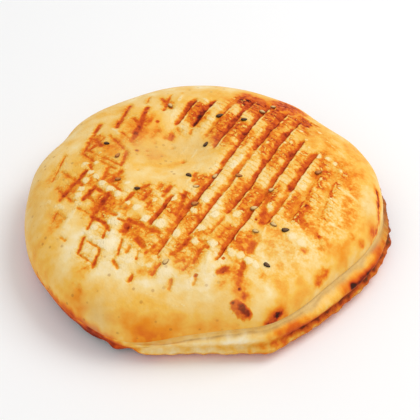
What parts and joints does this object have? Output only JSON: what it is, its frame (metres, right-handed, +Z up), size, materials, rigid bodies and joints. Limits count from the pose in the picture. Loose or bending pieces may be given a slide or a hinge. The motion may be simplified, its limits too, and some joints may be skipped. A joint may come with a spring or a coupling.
{
  "type": "kulcha",
  "caption": "Round puffed flatbread with a domed top pressed into slanting furrows, a soft dip behind the middle, a folded seam round the front right edge and scattered seeds, flat underneath.",
  "frame": {"origin": "middle of the bread's bounding box, on the table plane under its flat underside", "axes": "+Z up; -Y towards the side with the folded seam at its right; +X to the right seen from there; the furrows run about 60 degrees from +X towards +Y"},
  "size_m": [0.1612, 0.1558, 0.0384],
  "materials": {
    "crust": "baked wheat crust, pale cream to golden with rust-brown furrows, satin where buttered"
  },
  "bodies": {
    "root": {"kulcha": "crust"}
  },
  "joints": []
}
